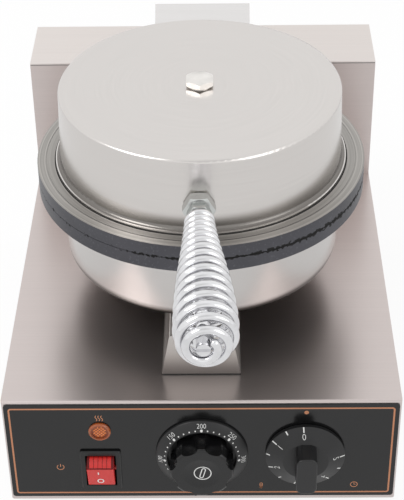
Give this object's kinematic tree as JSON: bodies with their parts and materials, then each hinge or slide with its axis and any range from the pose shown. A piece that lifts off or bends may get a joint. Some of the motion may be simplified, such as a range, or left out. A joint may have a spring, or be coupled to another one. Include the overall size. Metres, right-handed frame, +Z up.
{
  "type": "electric krumkake iron",
  "caption": "Electric krumkake iron: sheet-steel base with a tower and dial controls, round hinged baking plates with diamond grooves, and a coil-wire handle.",
  "frame": {"origin": "on the surface the feet stand on, below the middle of the whole iron, handle and cord gland included", "axes": "+X to the cook's right, +Y to the back, +Z up"},
  "size_m": [0.25, 0.4269, 0.2493],
  "materials": {
    "steel_sheet": "brushed",
    "plain_steel": "satin",
    "bright_steel": "bright zinc and nickel",
    "chrome_wire": "polished chrome",
    "cast_plate": "turned and seasoned",
    "heater_tube": "oxidised",
    "insulation": "pressed fibre",
    "panel_black": "satin black print",
    "black_plastic": "moulded",
    "white_plastic": "moulded",
    "red_plastic": "clear red moulding",
    "amber_lens": "faceted clear amber",
    "brass": "plain",
    "rubber": "moulded"
  },
  "bodies": {
    "base": {"base_shell": "steel_sheet", "bottom_plate": "plain_steel", "bottom_screws": "bright_steel", "bracket_bolts": "bright_steel", "cable_gland": "black_plastic", "control_fascia": "panel_black", "cover_screws": "bright_steel", "foot_nuts": "bright_steel", "foot_screws": "bright_steel", "gland_nut": "black_plastic", "hinge_bracket": "plain_steel", "hinge_clips": "bright_steel", "hinge_pin": "bright_steel", "indicator_body": "black_plastic", "indicator_lens": "amber_lens", "indicator_nut": "bright_steel", "lower_baking_plate": "cast_plate", "lower_centre_bolt": "bright_steel", "lower_clamp_plate": "plain_steel", "lower_element": "heater_tube", "lower_insulation": "insulation", "lower_pot": "steel_sheet", "pedestal": "plain_steel", "pedestal_screws": "bright_steel", "rubber_feet": "rubber", "switch_housing": "black_plastic", "switch_terminals": "brass", "terminal_block": "white_plastic", "thermostat_body": "black_plastic", "thermostat_dial": "black_plastic", "thermostat_screws": "bright_steel", "timer_body": "black_plastic", "timer_screws": "bright_steel", "tower_cover": "steel_sheet"},
    "lid": {"upper_pot": "steel_sheet", "upper_insulation": "insulation", "upper_element": "heater_tube", "upper_clamp_plate": "plain_steel", "upper_baking_plate": "cast_plate", "centre_bolt": "bright_steel", "lid_arm": "steel_sheet", "arm_bolts": "bright_steel", "handle_rod": "bright_steel", "handle_jam_nut": "bright_steel", "handle_collar": "bright_steel", "handle_inner_nut": "bright_steel", "handle_coil": "chrome_wire", "handle_end_nut": "bright_steel"},
    "rocker": {"switch_rocker": "red_plastic"},
    "thermostat_control": {"thermostat_knob": "black_plastic", "thermostat_shaft": "bright_steel"},
    "timer_control": {"timer_knob": "black_plastic", "timer_shaft": "bright_steel"}
  },
  "joints": [
    {"name": "lid_hinge", "type": "hinge", "parent": "base", "child": "lid", "pos_m": [0, 0.15072, 0.186], "axis": [-1, 0, 0], "range_deg": [0, 100]},
    {"name": "switch_rock", "type": "hinge", "parent": "base", "child": "rocker", "pos_m": [-0.0648, -0.11858, 0.038], "axis": [-1, 0, 0], "range_deg": [0, 30]},
    {"name": "thermostat_turn", "type": "hinge", "parent": "base", "child": "thermostat_control", "pos_m": [0, -0.11978, 0.051], "axis": [0, 1, 0], "range_deg": [0, 255]},
    {"name": "timer_turn", "type": "hinge", "parent": "base", "child": "timer_control", "pos_m": [0.0657, -0.11978, 0.051], "axis": [0, 1, 0], "range_deg": [0, 260]}
  ]
}
